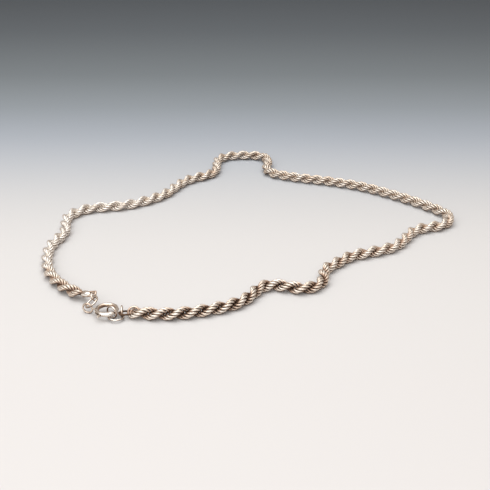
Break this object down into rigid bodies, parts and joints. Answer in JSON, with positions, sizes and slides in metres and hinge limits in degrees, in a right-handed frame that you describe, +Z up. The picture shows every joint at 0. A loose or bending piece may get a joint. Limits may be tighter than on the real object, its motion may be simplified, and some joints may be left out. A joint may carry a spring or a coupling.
{
  "type": "rope chain necklace with a spring ring clasp",
  "caption": "Silver rope chain necklace of twisted round links, closed with a spring ring clasp and lying in an open loop.",
  "frame": {"origin": "middle of the necklace's box, on the table it lies on", "axes": "+Z up from the table, the clasp at the front left (towards -Y), +X to the picture's right"},
  "size_m": [0.145, 0.1424, 0.005],
  "materials": {
    "chain_silver": "polished silver, tarnished brown between the links",
    "ring_silver": "polished silver wire, lightly worn",
    "clasp_silver": "polished silver with fine wear scratches"
  },
  "bodies": {
    "necklace": {"rope_chain": "chain_silver", "end_link": "chain_silver", "jump_ring": "ring_silver", "catch_ring": "ring_silver", "spring_ring": "clasp_silver", "connecting_ring": "ring_silver", "left_end_ring": "ring_silver"},
    "bolt": {"clasp_bolt": "clasp_silver"}
  },
  "joints": [
    {"name": "clasp_slide", "type": "hinge", "parent": "necklace", "child": "bolt", "pos_m": [-0.045, -0.06672, 0.00215], "axis": [0, 0, -1], "range_deg": [0, 50], "stiffness_Nm_per_rad": 0.003, "springref_deg": -34.38}
  ]
}
